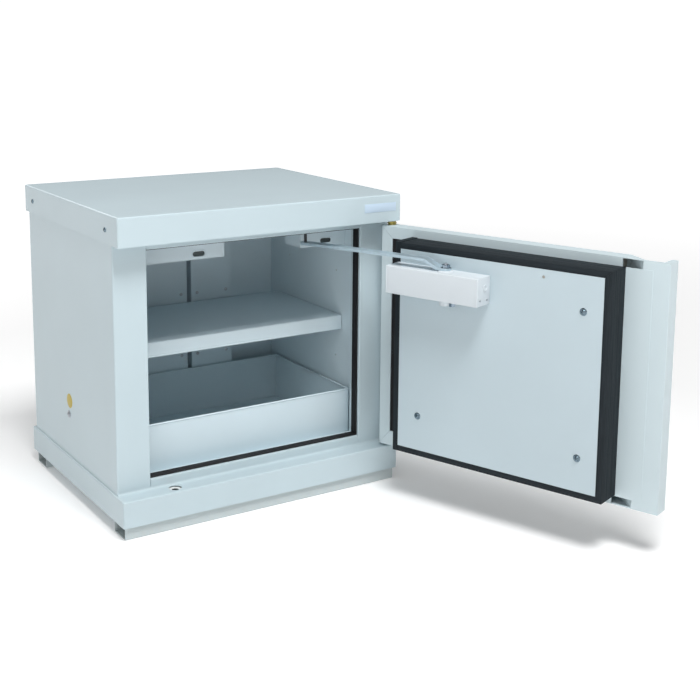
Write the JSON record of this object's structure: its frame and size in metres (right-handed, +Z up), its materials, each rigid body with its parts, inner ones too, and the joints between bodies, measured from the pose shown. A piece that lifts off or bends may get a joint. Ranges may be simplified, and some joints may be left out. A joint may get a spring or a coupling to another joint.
{
  "type": "flammable liquids safety cabinet",
  "caption": "Insulated bench-top safety cabinet with a right-hinged plug door standing open, finger-grip edge, overhead closer arm, shelf, sump tray, air boxes and box-section feet.",
  "frame": {"origin": "on the floor at the centre of the four fixing holes in the feet, which is the centre of the cover's footprint", "axes": "+X to the right seen from the door side, -Y out of the door opening, +Z up"},
  "size_m": [0.8042, 1.0594, 0.594],
  "materials": {
    "white_sheet": "satin powder coat",
    "liner_white": "satin powder coat",
    "insulation_board": "matte board",
    "black_seal": "matte",
    "keep_white": "moulded",
    "foot_white": "satin powder coat",
    "zinc_steel": "zinc plated",
    "stile_plate_white": "satin powder coat",
    "anthracite_strip": "matte",
    "panel_white": "smooth satin",
    "brass_bush": "machined",
    "closer_white": "satin",
    "closer_alloy": "cast, machined",
    "galvanised_arm": "galvanised"
  },
  "bodies": {
    "cabinet": {"top_cover": "white_sheet", "top_ledge": "white_sheet", "base_pan": "white_sheet", "side_panel_left": "white_sheet", "side_panel_right": "white_sheet", "rear_panel": "white_sheet", "roof_panel": "white_sheet", "front_stile_left": "white_sheet", "front_stile_right": "white_sheet", "front_rail_top": "white_sheet", "front_rail_bottom": "white_sheet", "liner_left": "liner_white", "liner_right": "liner_white", "liner_rear": "liner_white", "liner_ceiling": "liner_white", "liner_floor": "liner_white", "shelf": "liner_white", "sump_tray": "liner_white", "vent_box_left": "liner_white", "vent_box_right": "liner_white", "duct_cover_left": "liner_white", "duct_cover_right": "liner_white", "insulation_left": "insulation_board", "insulation_right": "insulation_board", "insulation_rear": "insulation_board", "insulation_top": "insulation_board", "insulation_bottom": "insulation_board", "opening_seals": "black_seal", "foot_tube_front": "foot_white", "foot_tube_rear": "foot_white", "cover_screws": "zinc_steel", "foot_bolts": "zinc_steel", "shelf_pins": "zinc_steel", "closer_guide": "zinc_steel", "hinge_pins": "zinc_steel", "earth_screw": "zinc_steel", "exhaust_spigot": "zinc_steel", "lock_keep": "keep_white"},
    "door": {"door_skin": "white_sheet", "door_inner_flanges": "white_sheet", "door_grip_profile": "white_sheet", "door_back_sheet": "white_sheet", "stile_cover_plate": "stile_plate_white", "hinge_side_seal": "black_seal", "door_core": "insulation_board", "plug_core": "insulation_board", "plug_strips": "anthracite_strip", "plug_panel": "panel_white", "panel_screws": "zinc_steel", "lock_case": "zinc_steel", "closer_spring": "zinc_steel", "hinge_bushes": "brass_bush", "closer_cover": "closer_white", "closer_housing": "closer_alloy"},
    "closer_arm": {"closer_arm": "galvanised_arm", "closer_spindle": "zinc_steel", "arm_roller": "zinc_steel"},
    "closer_piston": {"closer_piston": "zinc_steel"},
    "lock_cylinder": {"lock_cylinder": "zinc_steel"},
    "lock_bolt": {"lock_bolt": "zinc_steel"}
  },
  "joints": [
    {"name": "door_hinge", "type": "hinge", "parent": "cabinet", "child": "door", "pos_m": [0.2884, -0.2335, 0.305], "axis": [0, 0, 1], "range_deg": [-110.1, 0]},
    {"name": "closer_spindle_turn", "type": "hinge", "parent": "door", "child": "closer_arm", "pos_m": [0.26157, -0.44564, 0.48], "axis": [0, 0, 1], "range_deg": [0, 177]},
    {"name": "closer_piston_slide", "type": "slide", "parent": "door", "child": "closer_piston", "axis": [0.3437, -0.9391, 0], "range_m": [0, 0.024]},
    {"name": "lock_turn", "type": "hinge", "parent": "door", "child": "lock_cylinder", "pos_m": [0.4642, -0.67753, 0.16], "axis": [0.9391, 0.3437, 0], "range_deg": [0, 90]},
    {"name": "lock_bolt_slide", "type": "slide", "parent": "door", "child": "lock_bolt", "axis": [0, 0, -1], "range_m": [0, 0.013]}
  ],
  "couplings": [
    {"joint": "closer_spindle_turn", "follows": "door_hinge", "ratio": -1.604},
    {"joint": "closer_piston_slide", "follows": "door_hinge", "m_per_rad": -0.01248},
    {"joint": "lock_turn", "follows": "lock_bolt_slide", "rad_per_m": 120.8}
  ]
}
